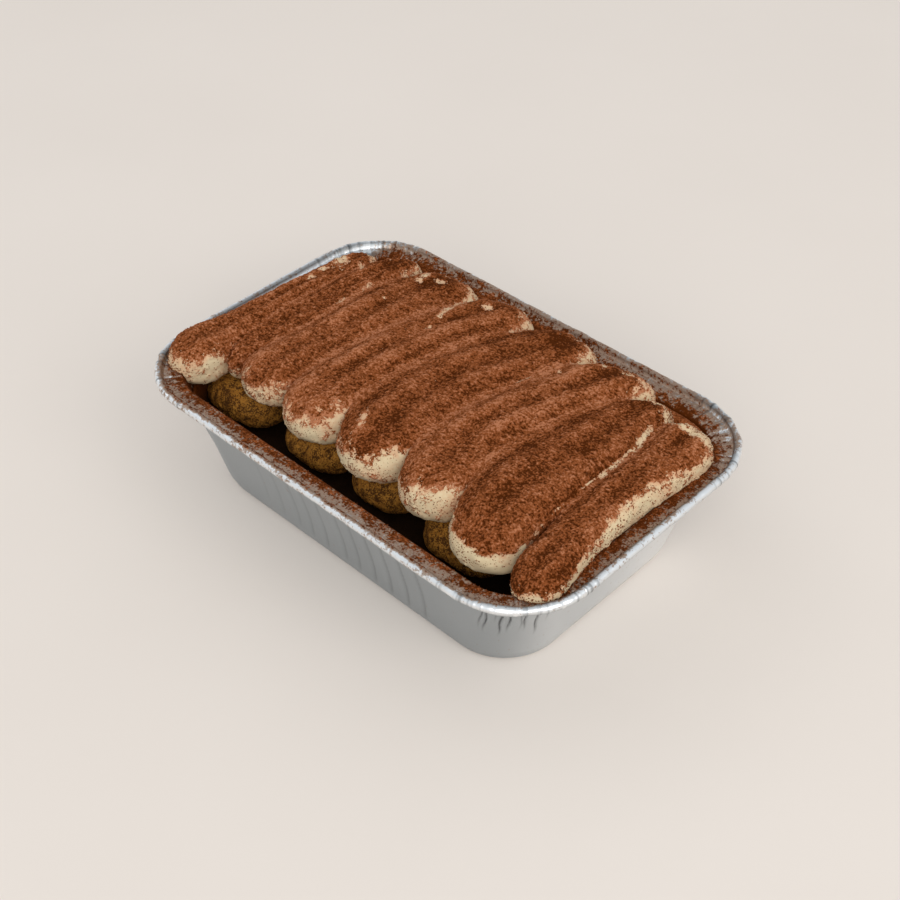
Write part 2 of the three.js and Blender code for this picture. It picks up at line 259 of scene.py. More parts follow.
def section_turns(count):
    """Cosine and sine of the places round a section, from under its middle by -X over the top."""
    angle = -math.pi / 2 - 2 * math.pi * np.arange(count) / count
    return np.cos(angle)[None], np.sin(angle)[None]


def squared_off(values, power):
    """Cosines or sines, pushed out towards a square by a power under 1."""
    return np.sign(values) * np.abs(values) ** power


# ---- shader helpers


def feed(tree, socket, value):
    if isinstance(value, bpy.types.NodeSocket):
        tree.links.new(value, socket)
    else:
        socket.default_value = value


def new_material(name, specular):
    material = bpy.data.materials.new(name)
    material.use_nodes = True
    tree = material.node_tree
    tree.nodes.clear()
    shader = tree.nodes.new("ShaderNodeBsdfPrincipled")
    shader.inputs["Specular IOR Level"].default_value = specular
    out = tree.nodes.new("ShaderNodeOutputMaterial")
    tree.links.new(shader.outputs["BSDF"], out.inputs["Surface"])
    return material, tree, shader


def shader_noise(tree, size, detail=2.0, stretch=(1, 1, 1)):
    """Noise about `size` millimetres across, fixed to the object."""
    place = tree.nodes.new("ShaderNodeTexCoord")
    mapping = tree.nodes.new("ShaderNodeMapping")
    mapping.inputs["Scale"].default_value = [s / (size * MM) for s in stretch]
    tree.links.new(place.outputs["Object"], mapping.inputs["Vector"])
    noise = tree.nodes.new("ShaderNodeTexNoise")
    noise.inputs["Scale"].default_value = 1.0
    noise.inputs["Detail"].default_value = detail
    tree.links.new(mapping.outputs["Vector"], noise.inputs["Vector"])
    return noise.outputs["Fac"]


def attribute(tree, name):
    node = tree.nodes.new("ShaderNodeAttribute")
    node.attribute_name = name
    return node.outputs["Fac"]


def spread(tree, value, low, high, to_low=0.0, to_high=1.0):
    """The value mapped smoothly from low..high to to_low..to_high."""
    node = tree.nodes.new("ShaderNodeMapRange")
    node.interpolation_type = "SMOOTHSTEP"
    feed(tree, node.inputs["Value"], value)
    limits = {"From Min": low, "From Max": high, "To Min": to_low, "To Max": to_high}
    for key, number in limits.items():
        node.inputs[key].default_value = number
    return node.outputs["Result"]


def sum_of(tree, a, b, share=1.0):
    """a + share * b."""
    node = tree.nodes.new("ShaderNodeMath")
    node.operation = "MULTIPLY_ADD"
    feed(tree, node.inputs[0], b)
    node.inputs[1].default_value = share
    feed(tree, node.inputs[2], a)
    return node.outputs[0]


def mixed(tree, factor, a, b):
    """Colour between a and b."""
    node = tree.nodes.new("ShaderNodeMix")
    node.data_type = "RGBA"
    feed(tree, node.inputs["Factor"], factor)
    feed(tree, node.inputs[6], a if isinstance(a, bpy.types.NodeSocket) else (*a, 1.0))
    feed(tree, node.inputs[7], b if isinstance(b, bpy.types.NodeSocket) else (*b, 1.0))
    return node.outputs[2]


def bump(tree, height, distance, strength=1.0, under=None):
    node = tree.nodes.new("ShaderNodeBump")
    node.inputs["Strength"].default_value = strength
    node.inputs["Distance"].default_value = distance * MM
    feed(tree, node.inputs["Height"], height)
    if under is not None:
        tree.links.new(under, node.inputs["Normal"])
    return node.outputs["Normal"]


# ---- colours

COCOA_DARK = (0.080, 0.018, 0.002)
COCOA_MIDDLE = (0.285, 0.082, 0.024)
COCOA_LIGHT = (0.52, 0.205, 0.098)
CREAM = (0.66, 0.535, 0.34)
CREAM_STAINED = (0.61, 0.36, 0.21)
FOIL = (0.43, 0.46, 0.48)
FOIL_SHADE = (0.385, 0.415, 0.435)
# Painted sheen: foil this light stands in for reflections of the lamps.
FOIL_PAINTED_SHEEN = (0.92, 0.945, 0.965)
FOIL_FILMED = (0.37, 0.25, 0.175)
# Painted shade: near-black foil for creases, crimps and the bead's groove and underside.
FOIL_PAINTED_SHADE = (0.08, 0.08, 0.08)
BISCUIT = (0.33, 0.135, 0.021)
BISCUIT_LIGHT = (0.44, 0.195, 0.032)
BISCUIT_SPECK = (0.055, 0.019, 0.004)
# Lower biscuit: dark from coffee, and near black as painted shade.
BISCUIT_SOAKED_AND_SHADE = (0.025, 0.010, 0.003)
# Filling: brown from coffee, taken to near black as painted shade in the gaps by the ladyfingers.
FILLING_DARK = (0.008, 0.004, 0.002)
FILLING_BROWN = (0.026, 0.011, 0.004)
FLOOR = (0.745, 0.680, 0.622)
FLOOR_SHADE = (0.780, 0.715, 0.657)


def cocoa_colour(tree):
    """Cocoa powder: dark in its pits and lighter on its grains as painted shade and light from the mesh, with
    soft larger patches.
    """
    tone_and_shade = sum_of(tree, attribute(tree, "tone_and_shade"), shader_noise(tree, 0.52, 2.0), 1.75)
    tone_and_shade = sum_of(tree, tone_and_shade, shader_noise(tree, 9.0, 1.0), 0.60)
    dark = mixed(tree, spread(tree, tone_and_shade, 0.74, 1.27), COCOA_DARK, COCOA_MIDDLE)
    return mixed(tree, spread(tree, tone_and_shade, 1.21, 1.72), dark, COCOA_LIGHT)


def cocoa_cream_material():
    """Ivory cream with cocoa where the mesh says that powder lies, and loose specks beside it."""
    material, tree, shader = new_material("cocoa_cream", specular=0.05)
    specks = sum_of(tree, shader_noise(tree, 0.45, 2.0), shader_noise(tree, 1.3, 2.0), 0.8)
    lies = sum_of(tree, attribute(tree, "cover"), specks, 1.9)
    lies = sum_of(tree, lies, attribute(tree, "cocoa"), 0.45)
    mask = spread(tree, lies, 2.27, 2.57)
    thin = sum_of(tree, attribute(tree, "cover"), shader_noise(tree, 0.9, 3.0), 0.6)
    cream = mixed(tree, spread(tree, thin, 0.30, 0.95), CREAM, CREAM_STAINED)
    feed(tree, shader.inputs["Base Color"], mixed(tree, mask, cream, cocoa_colour(tree)))
    feed(tree, shader.inputs["Roughness"], spread(tree, mask, 0.0, 1.0, 0.52, 0.98))
    grain = sum_of(tree, shader_noise(tree, 0.26, 2.0), shader_noise(tree, 0.6, 2.0), 1.0)
    fine = bump(tree, mixed(tree, mask, (0.9, 0.9, 0.9), grain), 0.45, 1.0)
    soft = bump(tree, shader_noise(tree, 1.6, 3.0), 0.06, 0.5, fine)
    tree.links.new(soft, shader.inputs["Normal"])
    return material


def foil_material():
    """Pressed aluminium foil with cocoa dust lying on it; painted sheen makes the rolled bead, the end walls
    and the glints lighter, and painted shade darkens creases and crimps.
    """
    material, tree, shader = new_material("foil", specular=0.05)
    specks = sum_of(tree, shader_noise(tree, 1.5, 2.0), shader_noise(tree, 0.60, 2.0), 0.9)
    lies = sum_of(tree, attribute(tree, "dust"), specks, 1.5)
    mask = spread(tree, lies, 1.80, 2.16)
    foil = mixed(tree, shader_noise(tree, 14.0, 3.0), FOIL, FOIL_SHADE)
    # Painted sheen: lighter foil on the bead's top, the end walls and the glints.
    foil = mixed(tree, attribute(tree, "painted_sheen"), foil, FOIL_PAINTED_SHEEN)
    foil = mixed(tree, spread(tree, lies, 1.14, 1.64, 0.0, 0.93), foil, FOIL_FILMED)
    # Painted shade: darker foil in creases, crimp valleys, the bead's groove and under the bead.
    foil = mixed(tree, attribute(tree, "painted_shade"), foil, FOIL_PAINTED_SHADE)
    feed(tree, shader.inputs["Base Color"], mixed(tree, mask, foil, cocoa_colour(tree)))
    feed(tree, shader.inputs["Metallic"], spread(tree, mask, 0.0, 1.0, 1.0, 0.0))
    bare = spread(tree, attribute(tree, "painted_sheen"), 0.6, 1.0, 0.48, 0.34)
    feed(tree, shader.inputs["Roughness"], mixed(tree, mask, bare, (0.95, 0.95, 0.95)))
    rolled = bump(tree, shader_noise(tree, 1.1, 4.0), 0.05, 0.5)
    grain = mixed(tree, mask, (0.5, 0.5, 0.5), shader_noise(tree, 0.3, 3.0))
    tree.links.new(bump(tree, grain, 0.2, 0.8, rolled), shader.inputs["Normal"])
    return material


def biscuit_material():
    """Sponge biscuit steeped in coffee: golden brown, with dark specks and pores, darker lower down from the
    coffee and as painted shade.
    """
    material, tree, shader = new_material("biscuit", specular=0.12)
    patch = sum_of(tree, shader_noise(tree, 4.0, 2.0), shader_noise(tree, 0.7, 2.0), 0.8)
    golden = mixed(tree, spread(tree, patch, 0.72, 1.08), BISCUIT, BISCUIT_LIGHT)
    speck = sum_of(tree, attribute(tree, "pore"), shader_noise(tree, 0.40, 2.0), 1.7)
    golden = mixed(tree, spread(tree, speck, 1.02, 1.34, 0.0, 0.9), golden, BISCUIT_SPECK)
    colour = mixed(tree, attribute(tree, "soaked_and_shade"), golden, BISCUIT_SOAKED_AND_SHADE)
    feed(tree, shader.inputs["Base Color"], colour)
    shader.inputs["Roughness"].default_value = 0.8
    pores = bump(tree, shader_noise(tree, 0.7, 4.0), 0.45, 1.0)
    tree.links.new(pores, shader.inputs["Normal"])
    return material


def filling_material():
    """Inside of the tray, dark from coffee and darkened further to near black as painted shade, with cocoa on
    what the powder reached.
    """
    material, tree, shader = new_material("filling", specular=0.05)
    soaked_and_shade = mixed(tree, shader_noise(tree, 3.0, 4.0), FILLING_DARK, FILLING_BROWN)
    feed(tree, shader.inputs["Base Color"], mixed(tree, attribute(tree, "cocoa"), soaked_and_shade, cocoa_colour(tree)))
    shader.inputs["Roughness"].default_value = 0.85
    tree.links.new(bump(tree, shader_noise(tree, 0.4, 4.0), 0.3, 0.8), shader.inputs["Normal"])
    return material


def crumb_material():
    """Loose grains of cocoa."""
    material, tree, shader = new_material("cocoa_grains", specular=0.2)
    colour = mixed(tree, shader_noise(tree, 1.0, 2.0), COCOA_DARK, COCOA_MIDDLE)
    feed(tree, shader.inputs["Base Color"], colour)
    shader.inputs["Roughness"].default_value = 0.95
    return material


# ---- tray shape


def rim_inset(points):
    """Distance inside the rim's outer edge, seen from above."""
    qx = np.abs(points[..., 0]) - (RIM_HALF_LENGTH - RIM_CORNER_RADIUS)
    qy = np.abs(points[..., 1]) - (RIM_HALF_WIDTH - RIM_CORNER_RADIUS)
    outside = np.hypot(np.maximum(qx, 0), np.maximum(qy, 0))
    return RIM_CORNER_RADIUS - outside - np.minimum(np.maximum(qx, qy), 0)


# How far food keeps above the bead and above the ledge, and how steeply the wall falls away inside.
BEAD_CLEARANCE, LEDGE_CLEARANCE = 0.1, 0.2
WALL_FALL = 5.0

# How far inside the wall's outer face the bars and the other food keep.
BAR_INWARD, FOOD_INWARD = FOIL_THICKNESS + 0.1, FOIL_THICKNESS + 0.3


def ledge_height(inset):
    along = (inset - LEDGE_OUTER_INSET) / (LEDGE_INNER_INSET - LEDGE_OUTER_INSET)
    return lerp(LEDGE_OUTER_Z, LEDGE_INNER_Z, np.clip(along, 0, 1))


def food_floor(points):
    """Lowest height at which food clears the foil: over the bead, the ledge or the slanted wall."""
    inset = rim_inset(points)
    from_bead = np.clip((inset - BEAD_RADIUS) / BEAD_RADIUS, -1, 1)
    bead = BEAD_CENTRE_Z + BEAD_RADIUS * np.sqrt(1 - from_bead**2) + BEAD_CLEARANCE
    ledge = ledge_height(inset) + LEDGE_CLEARANCE
    top = np.where(inset < LEDGE_OUTER_INSET, bead, ledge)
    wall = ledge - (inset - WALL_TOP_INSET - LEDGE_CLEARANCE) * WALL_FALL
    return np.where(inset > WALL_TOP_INSET + LEDGE_CLEARANCE, wall, top)


# The columns of what `perimeter` returns.
SIGN_X, SIGN_Y, OUTWARD, CORNER_SHARE, CORNER_NUMBER = range(5)

# How far the crimps of the corners reach into the straight sides.
CRIMP_FADE = 5.0


def perimeter(straight_step, corner_step):
    """Places round a rounded rectangle, one row of the columns above for each."""
    corners = [(1, 1, 0), (-1, 1, 90), (-1, -1, 180), (1, -1, 270)]
    rows = []
    for k, (cx, cy, start) in enumerate(corners):
        turns = max(2, round(RIM_CORNER_RADIUS * math.pi / 2 / corner_step))
        for i in range(turns):
            angle = math.radians(start + 90 * i / turns)
            rows.append((cx, cy, angle, 1.0, k))
        nx, ny, next_start = corners[(k + 1) % 4]
        half = RIM_HALF_LENGTH if k % 2 == 0 else RIM_HALF_WIDTH
        length = 2 * (half - RIM_CORNER_RADIUS)
        steps = max(2, round(length / straight_step))
        for i in range(steps):
            t = i / steps
            away = length * min(t, 1 - t)
            corner = math.exp(-((away / CRIMP_FADE) ** 2))
            nearer = k if t < 0.5 else (k + 1) % 4
            rows.append((lerp(cx, nx, t), lerp(cy, ny, t), math.radians(next_start), corner, nearer))
    return np.array(rows)


def tray_rings(steps, rows):
    """Points of the tray for each profile step (half length, half width, corner radius, z)."""
    half_length, half_width, radius, z = [np.array(c, float)[:, None] for c in zip(*steps)]
    x = rows[:, SIGN_X] * (half_length - radius) + radius * np.cos(rows[:, OUTWARD])
    y = rows[:, SIGN_Y] * (half_width - radius) + radius * np.sin(rows[:, OUTWARD])
    return np.stack([x, y, np.broadcast_to(z, x.shape)], -1)


def rim_step(inset, z):
    """Profile step at a distance inside the rim's outer edge."""
    return (RIM_HALF_LENGTH - inset, RIM_HALF_WIDTH - inset, RIM_CORNER_RADIUS - inset, z)


def wall_step(z, inward, at_z=None):
    """Profile step `inward` from the slanted wall's outer face at height z, put at at_z if that is given."""
    down = np.clip((WALL_TOP_Z - z) / WALL_TOP_Z, 0.0, 1.0)
    return (
        RIM_HALF_LENGTH - WALL_TOP_INSET - down * WALL_TAPER_LENGTHWISE - inward,
        RIM_HALF_WIDTH - WALL_TOP_INSET - down * WALL_TAPER_CROSSWISE - inward,
        lerp(RIM_CORNER_RADIUS - WALL_TOP_INSET, BASE_CORNER_RADIUS, down) - inward,
        z if at_z is None else at_z,
    )


def kept_inside(grid, inward):
    """The points, with those past the slanted wall, but not above it, moved in to `inward` from its face."""
    x, y = grid[..., 0], grid[..., 1]
    half_length, half_width, radius, _ = wall_step(grid[..., 2], inward)
    past_x = np.maximum(np.abs(x) - (half_length - radius), 0)
    past_y = np.maximum(np.abs(y) - (half_width - radius), 0)
    away = np.hypot(past_x, past_y)
    over = np.maximum(away - radius, 0) / np.maximum(away, 1e-9) * (grid[..., 2] < WALL_TOP_Z)
    moved = grid.copy()
    moved[..., 0] -= np.sign(x) * past_x * over
    moved[..., 1] -= np.sign(y) * past_y * over
    return moved


# Creases below the bead at each corner: degrees round the corner, top and bottom height, depth.
CORNER_CREASES = [
    (14, 32.0, 19.0, 0.30),
    (22, 31.0, 15.0, 0.44),
    (27, 29.0, 20.0, 0.30),
    (34, 32.0, 17.0, 0.50),
    (42, 31.5, 18.0, 0.46),
    (49, 27.0, 16.0, 0.26),
    (56, 31.5, 19.0, 0.44),
    (65, 32.0, 16.0, 0.40),
    (73, 30.0, 18.0, 0.26),
]

# Pressed ribs on the long walls: x at mid height, top and bottom height, depth.
WALL_RIBS = [
    (-30.2, 22.0, 7.0, 0.06),
    (-24.0, 24.0, 5.0, 0.10),
    (-17.4, 26.0, 5.5, 0.13),
    (-12.0, 26.0, 4.5, 0.15),
    (-6.2, 28.0, 4.0, 0.16),
    (1.2, 28.0, 4.5, 0.17),
    (6.4, 29.0, 4.0, 0.19),
    (12.4, 29.0, 3.5, 0.21),
    (18.4, 29.0, 3.0, 0.24),
    (24.6, 29.0, 2.6, 0.25),
    (30.8, 29.0, 2.6, 0.22),
]


def wall_relief(grid, rows):
    """How far ribs, corner creases and dents press the outer wall in, and how much painted shade darkens the
    creases.
    """
    x, z = grid[..., 0], grid[..., 2]
    facing_y = np.abs(np.sin(rows[:, OUTWARD])) > 0.999
    relief = np.zeros(grid.shape[:2])
    crease_shade = np.zeros(grid.shape[:2])
    for rib_x, top, bottom, depth in WALL_RIBS:
        bend = rib_x + 0.5 * np.sin((z - 6.0) * 0.28) + 0.03 * (20.0 - z)
        fade = smooth(top + 2.5, top - 2.5, z) * smooth(bottom - 1.5, bottom + 2.0, z) * facing_y
        across = x - bend
        valley = np.exp(-((across / 0.50) ** 2))
        relief += depth * fade * (valley - 0.45 * np.exp(-(((across + 1.3) / 1.0) ** 2)))
        crease_shade = np.maximum(crease_shade, 1.1 * depth * fade * valley)
    degrees = np.degrees(rows[:, OUTWARD]) % 90.0
    in_corner = rows[:, CORNER_SHARE] > 0.999
    for number in range(4):
        here = in_corner & (rows[:, CORNER_NUMBER] == number)
        flip = number in (0, 2)
        for k, (angle, top, bottom, depth) in enumerate(CORNER_CREASES):
            centre = (90.0 - angle if flip else angle) + 2.2 * math.sin(5.1 * number + 2.3 * k)
            foot = bottom * (1.0 + 0.12 * math.sin(3.7 * number + 1.9 * k))
            wiggle = centre + 0.8 * np.sin(z * 0.75 + 1.7 * k + number) + 0.10 * (z - 24.0)
            fade = smooth(top + 1.5, top - 1.5, z) * smooth(foot - 2.0, foot + 4.0, z) * here
            across = (degrees - wiggle) * 0.28
            valley = np.exp(-((across / 0.21) ** 2))
            relief += depth * fade * (valley - 0.8 * np.exp(-(((across - 0.5) / 0.33) ** 2)))
            crease_shade = np.maximum(crease_shade, 1.9 * depth * fade * valley)
    relief += 0.10 * layered(grid, 16.0, 31, 2) + 0.03 * layered(grid, 4.0, 37, 2)
    return relief, np.clip(crease_shade, 0, 1)


# The kinds of surface along the tray's profile.
OUTSIDE, BEAD, LEDGE, INSIDE = range(4)


def tray_dust(grid, kind):
    """Share of each place on the tray that cocoa covers."""
    x, y = grid[..., 0], grid[..., 1]
    inset = rim_inset(grid)
    near = smooth(-34, -42, y)
    far = smooth(34, 42, y)
    left = smooth(-60, -68, x) * (1 - near)
    middle_right = smooth(60, 68, x) * (1 - near) * (1 - far)
    ledge = 0.40 + 0.40 * smooth(2.8, 6.0, inset)
    ledge -= 0.06 * near * smooth(-25, 10, x)
    ledge += far * (0.22 * smooth(25, 5, x) - 0.06 * smooth(20, 45, x))
    ledge += 0.10 * middle_right - 0.85 * left
    ledge -= 0.08 * smooth(46, 60, x) * smooth(14, 30, y)
    bead = -0.20 - 0.28 * smooth(36, 58, x) + far * 0.22 * smooth(-62, -48, x)
    bead += lerp(0.30, 0.70, near * smooth(64, 52, np.abs(x))) * smooth(0.45, 1.25, inset) * (1 - left)
    bead += 0.20 * smooth(1.3, 2.1, inset) * (1 - left) + 0.04 * middle_right - 0.1 * left
    inside = 0.95 - 0.02 * (WALL_TOP_Z - grid[..., 2])
    share = np.where(kind == BEAD, bead, -0.6)
    share = np.where(kind == LEDGE, ledge, share)
    return np.where(kind == INSIDE, inside, share)


def tray_painted_light(grid, kind, turn, rows):
    """Painted sheen and painted shade on the bare foil: lighter on the end walls, the bead's top and a strip
    of the left ledge, darker in the bead's groove, under the bead and on the left ledge's inner part; turn is
    in degrees round the bead.
    """
    x, y = grid[..., 0], grid[..., 1]
    inset = rim_inset(grid)
    long_side = smooth(26, 42, np.abs(y))
    left = smooth(-60, -68, x) * (1 - smooth(-34, -42, y))
    # Painted sheen: the end walls, more so towards the far side, then the bead's top and a strip of the left
    # ledge.
    painted_sheen_share = np.cos(rows[:, OUTWARD])[None] ** 4 * (0.48 + 0.58 * smooth(-15, 40, y))
    bead = np.exp(-(((turn - lerp(42.0, 30.0, long_side)) / lerp(66.0, 52.0, long_side)) ** 2))
    painted_sheen_share = np.where(kind == BEAD, bead, painted_sheen_share)
    painted_sheen_share = np.where(kind == LEDGE, 0.15 + 0.75 * left * smooth(4.4, 3.4, inset), painted_sheen_share)
    # Painted shade: the groove between bead and ledge, the bead's underside and the left ledge's inner part
    # darker.
    groove = 0.52 - 0.37 * smooth(-34, -42, y) - 0.26 * smooth(34, 42, y) * smooth(56, 44, x)
    rim_shade = np.where(kind == BEAD, groove * smooth(85, 125, turn) + 0.55 * smooth(-25, -60, turn), 0.0)
    rim_shade = np.where(kind == LEDGE, 0.75 * left * smooth(3.8, 5.0, inset), rim_shade)
    return painted_sheen_share, rim_shade


# The ledge's underside: distance inside the rim, and height. Then the heights down the inside.
LEDGE_UNDERSIDE = [(7.3, 34.1), (6.6, 34.55), (4.6, 34.85), (3.0, 35.02), (2.5, 35.08)]
INSIDE_HEIGHTS = [33.4, 32.4, 31.2, 29.8, 28.2, 26.0, 23.0, 19.0, 14.0, 8.0, 3.0]

# The rolled bead's section starts under the ledge and ends on it: degrees from its outer side.
BEAD_START, BEAD_END = -148, 145


def tray_profile():
    """The section's steps from under the foot to the inside, their kinds, and turns round the bead."""
    profile = []

    def put(step, kind, turn=0.0):
        profile.append((step, kind, turn))

    put(wall_step(0, FOOT_RADIUS + 6, 0.0), OUTSIDE)
    for k in range(6):
        angle = math.pi / 2 * k / 5
        inward, rise = FOOT_RADIUS * (1 - math.sin(angle)), FOOT_RADIUS * (1 - math.cos(angle))
        put(wall_step(0, inward, rise), OUTSIDE)
    for z in np.linspace(FOOT_RADIUS + 1.3, WALL_TOP_Z - 0.8, 23):
        put(wall_step(z, 0.0), OUTSIDE)
    for inset, z in LEDGE_UNDERSIDE:
        put(rim_step(inset, z), OUTSIDE)
    for degrees in np.linspace(BEAD_START, BEAD_END, 21):
        angle = math.radians(degrees)
        inset = BEAD_RADIUS * (1 - math.cos(angle))
        put(rim_step(inset, BEAD_CENTRE_Z + BEAD_RADIUS * math.sin(angle)), BEAD, degrees)
    for inset in np.linspace(LEDGE_OUTER_INSET, LEDGE_INNER_INSET, 12):
        put(rim_step(inset, ledge_height(inset)), LEDGE)
    put(rim_step(7.25, 34.95), LEDGE)
    put(rim_step(7.85, 34.45), INSIDE)
    for z in INSIDE_HEIGHTS:
        put(wall_step(z, FOIL_THICKNESS), INSIDE)
    put(wall_step(0, FOOT_RADIUS, FOIL_THICKNESS), INSIDE)
    return zip(*profile)


def build_tray():
    """The foil tray, and the dusted places on its bead and ledge for loose grains."""
    rows = perimeter(straight_step=0.46, corner_step=0.31)
    steps, kinds, turns = tray_profile()
    grid = tray_rings(steps, rows)
    kind = np.repeat(np.array(kinds)[:, None], len(rows), axis=1)
    turn = np.repeat(np.array(turns)[:, None], len(rows), axis=1)
    outward = np.stack([np.cos(rows[:, OUTWARD]), np.sin(rows[:, OUTWARD]), np.zeros(len(rows))], -1)
    corner = rows[:, CORNER_SHARE]
    z = grid[..., 2]

    # Outer wall: ribs and creases.
    on_wall = smooth(0.3, 3.0, z) * smooth(34.4, 32.8, z) * (kind == OUTSIDE)
    relief, crease_shade = wall_relief(grid, rows)
    grid = grid - outward[None] * (relief * on_wall)[..., None]

    # Bead and ledge: small dents everywhere, uneven radial crimps at the corners.
    bead_ring = grid[kinds.index(BEAD) + 5]
    arc = np.cumsum(np.linalg.norm(np.diff(bead_ring, axis=0, prepend=bead_ring[-1:]), axis=-1))
    flow = np.stack([arc, np.zeros_like(arc), np.zeros_like(arc)], -1)
    crimp = (0.9 * value_noise(flow, 0.62, 41) + 0.5 * value_noise(flow, 1.7, 43)) * corner
    on_bead = kind == BEAD
    dents = 0.07 * layered(grid, 1.3, 51, 2) + 0.12 * value_noise(grid, 4.0, 53)
    push = on_bead * (dents * (1.0 + 0.8 * corner) + 0.10 * crimp)
    rise = np.clip((z - BEAD_CENTRE_Z) / BEAD_RADIUS, -1, 1)
    outer_half = rim_inset(grid) < BEAD_RADIUS
    side = np.sqrt(1 - rise**2) * np.where(outer_half, 1, -1)
    grid = grid + push[..., None] * (side[..., None] * outward[None])
    grid[..., 2] += push * rise
    on_ledge = kind == LEDGE
    fade = smooth(7.4, 6.2, rim_inset(grid))
    grid[..., 2] += on_ledge * fade * (0.30 * crimp + 0.10 * layered(grid, 3.0, 57, 2))

    # Cocoa dust lying on the bead, the ledge and the inside.
    top = (kind == BEAD) | (kind == LEDGE)
    share = tray_dust(grid, kind) + (0.18 * on_ledge + 0.46 * on_bead) * layered(grid, 4.0, 65, 3)
    cocoa = smooth(0.2, 0.8, share)
    grain = streaks(grid, 67)
    relief_share = np.where(kind == BEAD, 0.3, 1.0) * (kind != INSIDE)
    grid[..., 2] += cocoa * (0.10 + 0.13 * grain) * relief_share
    painted_sheen_share, rim_shade = tray_painted_light(grid, kind, turn, rows)
    broken = smooth(-0.35, 0.25, value_noise(grid, 1.1, 69))
    # Dark strokes in the crimps' valleys: a little more dust there, and painted shade.
    crimp_dust_and_shade = smooth(0.10, 0.70, crimp) * top
    # Painted highlights: lighter foil strokes along the corners' crimps, with the dust cleared there.
    painted_glint = smooth(0.20, 0.75, -crimp) * top * broken
    made = closed_rings(
        "foil_tray_dressed",
        grid,
        (0, 0, 0),
        (0, 0, FOIL_THICKNESS),
        {
            "dust": share - 0.55 * painted_glint * on_ledge + 0.10 * crimp_dust_and_shade * on_ledge,
            # Painted shade: the cocoa darker in its pits, on the inside wall and in the crimps' strokes.
            "tone_and_shade": -0.32 + 0.34 * grain - 0.35 * (kind == INSIDE) - 0.20 * crimp_dust_and_shade,
            "painted_sheen": np.clip(painted_sheen_share + 0.6 * painted_glint - 0.3 * crimp_dust_and_shade, 0, 1),
            "painted_shade": np.clip(np.maximum(crease_shade * on_wall, rim_shade) + 0.50 * crimp_dust_and_shade, 0, 1),
        },
    )
    made.data.materials.append(foil_material())
    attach(made, "root")
    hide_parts("foil_tray")
    inside = top & (rim_inset(grid) > BEAD_RADIUS)
    return grid[inside], cocoa[inside]


# ---- cream bars

# Surfaces turned away from where the cocoa came from stay bare. At the near tips it came from the far
# side, leaning more or less to the left, and at the far tips from the near side.
DUST_BACK, DUST_DOWN = 0.42, 0.824
DUST_FAR = np.array([-0.30, -0.35, 0.89])
DUST_MIDDLE_LIMIT = -0.30

# For each bar: how far the near cocoa leans, the turn towards it that is half covered and how wide the
# speckled edge is, then the same turn at the far tip, where the edge is DUST_FAR_EDGE wide.
DUST = [
    (-0.10, 0.14, 1.20, 0.32),
    (0.00, -0.24, 0.60, 0.30),
    (-0.08, 0.08, 0.90, 0.36),
    (-0.55, 0.14, 0.95, 0.38),
    (-0.50, 0.16, 0.95, 0.36),
    (-0.55, 0.24, 0.75, 0.38),
    (0.04, 0.24, 0.30, 0.38),
    (-0.10, -0.12, 0.50, 0.34),
]
DUST_FAR_EDGE = 0.70

# Loose specks still lie on the bare cream: the least cover at each near tip, and beyond the tips.
DUST_NEAR_LEAST = [0.32, 0.26, 0.24, 0.22, 0.26, 0.24, 0.06, 0.22]
DUST_FAR_LEAST = 0.30

# How much lighter or darker each bar's cocoa is, and how much more so towards its near tip.
BAR_TONE = [0.0, -0.02, 0.02, 0.06, -0.04, 0.08, -0.10, 0.0]
BAR_TONE_NEAR = [0.0, 0.0, 0.0, 0.06, -0.10, -0.08, 0.03, -0.20]

# The last bar's right flank is bare: places along it, and the least turn that stays covered there.
FLANK_Y = [-40, -28, -15, -5, 8, 14, 21, 32]
FLANK_LIMIT = [0.02, 0.14, 0.34, 0.52, 0.56, 0.50, 0.34, 0.40]

# Depth of the groove between neighbouring bars in the middle of the tray.
GROOVE_DEPTH = [0, 0.7, 0.8, 1.1, 0.9, 1.0, 1.2, 2.0, 0]

# The groove before the last bar has a bare left side, and closes this much further back.
BARE_GROOVE, BARE_GROOVE_DELAY = 7, 6.0

